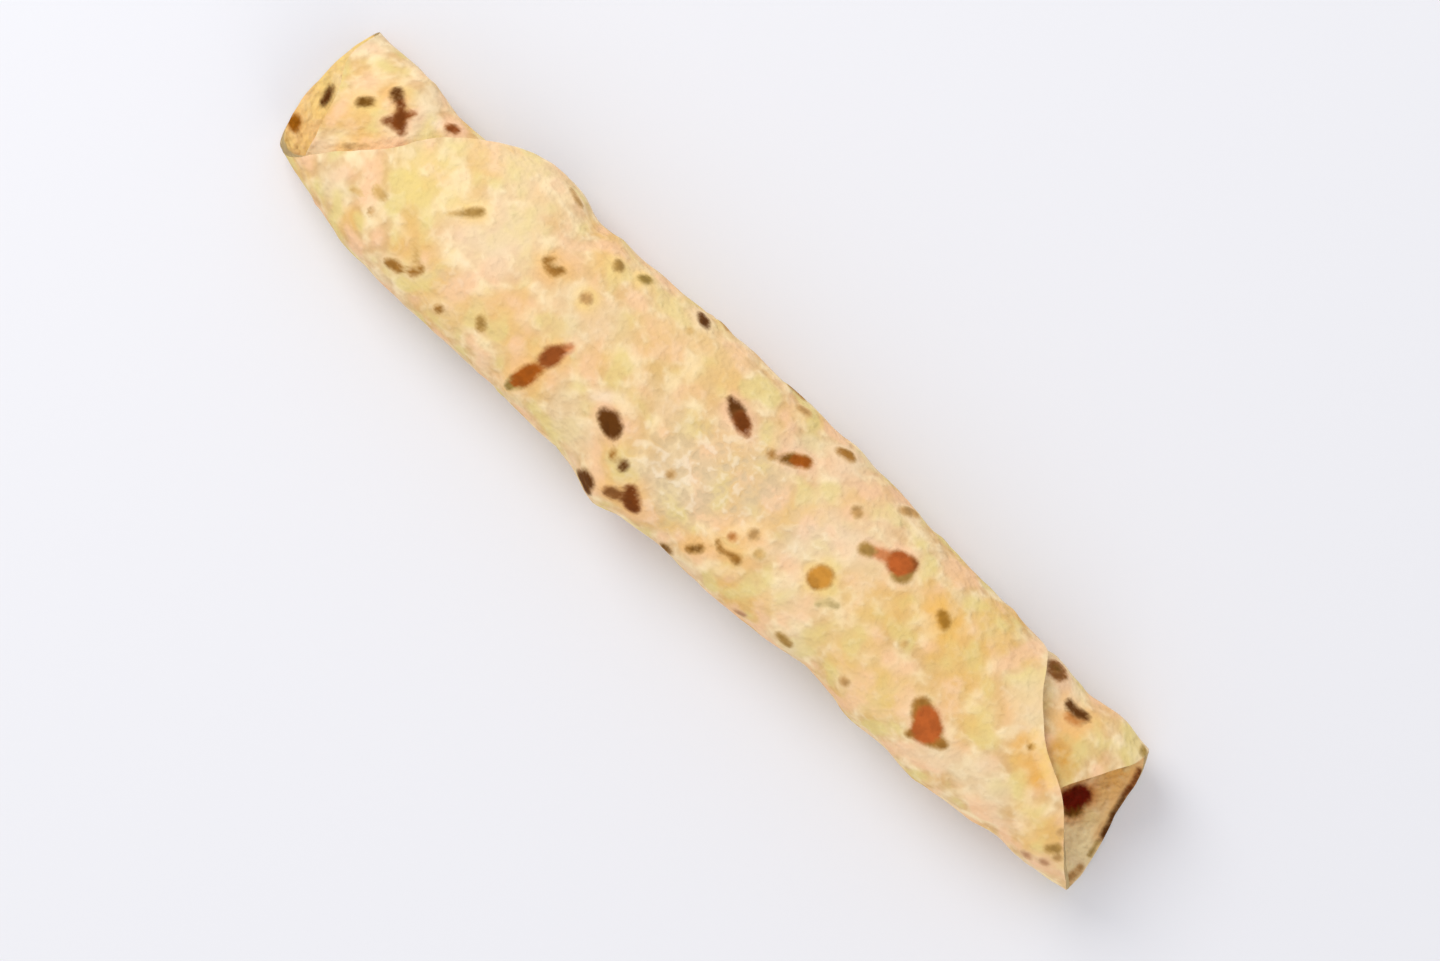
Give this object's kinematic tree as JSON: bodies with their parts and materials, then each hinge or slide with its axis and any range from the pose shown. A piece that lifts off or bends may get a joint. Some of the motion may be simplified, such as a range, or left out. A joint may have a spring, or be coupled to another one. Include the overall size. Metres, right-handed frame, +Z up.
{
  "type": "rolled chapati flatbread",
  "caption": "Round griddle-toasted flatbread rolled up into a loose, slightly flattened tube, open at both ends, with its loose edge tucked underneath.",
  "frame": {"origin": "on the surface that the roll lies on, below the middle of its bounding box", "axes": "+X along the roll, towards the end that gapes open; +Y across it, towards the side where the outer wrap goes down to its tucked-in edge; +Z up"},
  "size_m": [0.2246, 0.0428, 0.0255],
  "materials": {
    "chapati_crust": "dry floury baked dough, matt, with brown toasted spots"
  },
  "bodies": {
    "root": {"chapati": "chapati_crust"}
  },
  "joints": []
}
